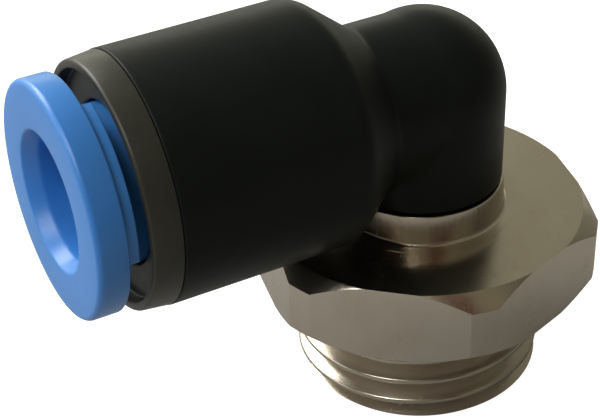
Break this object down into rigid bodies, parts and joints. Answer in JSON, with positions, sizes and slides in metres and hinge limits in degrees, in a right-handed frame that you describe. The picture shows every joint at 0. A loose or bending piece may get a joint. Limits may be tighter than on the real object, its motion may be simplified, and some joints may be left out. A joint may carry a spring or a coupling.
{
  "type": "push to connect fitting",
  "caption": "Swivel male elbow: a push-in tube socket with a coloured release sleeve on a hexagonal plated stud with a parallel pipe thread.",
  "frame": {"origin": "middle of the hexagon's sealing face, on the thread axis", "axes": "+Z along the thread axis from the port towards the elbow; -X along the tube axis, out of the socket"},
  "size_m": [0.0294, 0.0188, 0.0231],
  "materials": {
    "nickel_plated_brass": "nickel plated, satin on the flats and bright on the turned faces",
    "spring_steel": "bright strip",
    "black_rubber": "matt",
    "black_moulding": "satin moulded",
    "dark_grey_collar": "satin moulded",
    "blue_sleeve": "smooth moulded acetal",
    "natural_acetal": "smooth moulded"
  },
  "bodies": {
    "stud": {"threaded_stud": "nickel_plated_brass", "face_seal": "black_rubber", "swivel_o_ring": "black_rubber", "swivel_snap_ring": "spring_steel"},
    "elbow": {"elbow_body": "black_moulding", "tube_seal": "black_rubber", "seal_support_ring": "natural_acetal", "retaining_collar": "dark_grey_collar"},
    "grip": {"grip_ring": "spring_steel"},
    "sleeve": {"release_sleeve": "blue_sleeve"}
  },
  "joints": [
    {"name": "elbow_swivel", "type": "hinge", "parent": "stud", "child": "elbow", "pos_m": [0, 0, 0.00595], "axis": [0, 0, 1], "continuous": true},
    {"name": "sleeve_spin", "type": "hinge", "parent": "elbow", "child": "grip", "pos_m": [-0.0115, 0, 0.0109], "axis": [1, 0, 0], "continuous": true},
    {"name": "release_press", "type": "slide", "parent": "grip", "child": "sleeve", "axis": [1, 0, 0], "range_m": [0, 0.00075], "stiffness_N_per_m": 4000, "deforming": ["grip_ring"]}
  ]
}
